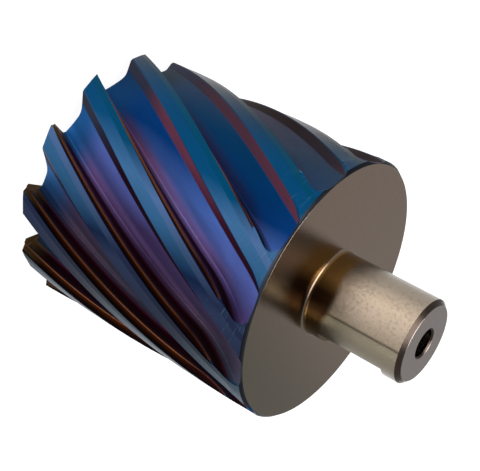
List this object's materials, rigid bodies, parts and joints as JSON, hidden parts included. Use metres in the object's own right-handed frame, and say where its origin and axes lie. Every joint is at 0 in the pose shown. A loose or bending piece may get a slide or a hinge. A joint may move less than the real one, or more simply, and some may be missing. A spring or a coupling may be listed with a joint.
{
  "type": "annular cutter",
  "caption": "Hollow core drill for metal with helical flutes, stepped cutting teeth round its open end and a short flatted shank with a pilot bore.",
  "frame": {"origin": "on the cutter's axis at the height of the tooth tips", "axes": "+Z along the axis from the teeth to the shank; +X towards the cutting corner of one tooth, measured at the height of the outer corners"},
  "size_m": [0.06, 0.06, 0.0869],
  "materials": {
    "tool_steel": "ground shank and back, dark heat-tinted flutes in blue, violet and brown"
  },
  "bodies": {
    "root": {"annular_cutter": "tool_steel"}
  },
  "joints": []
}
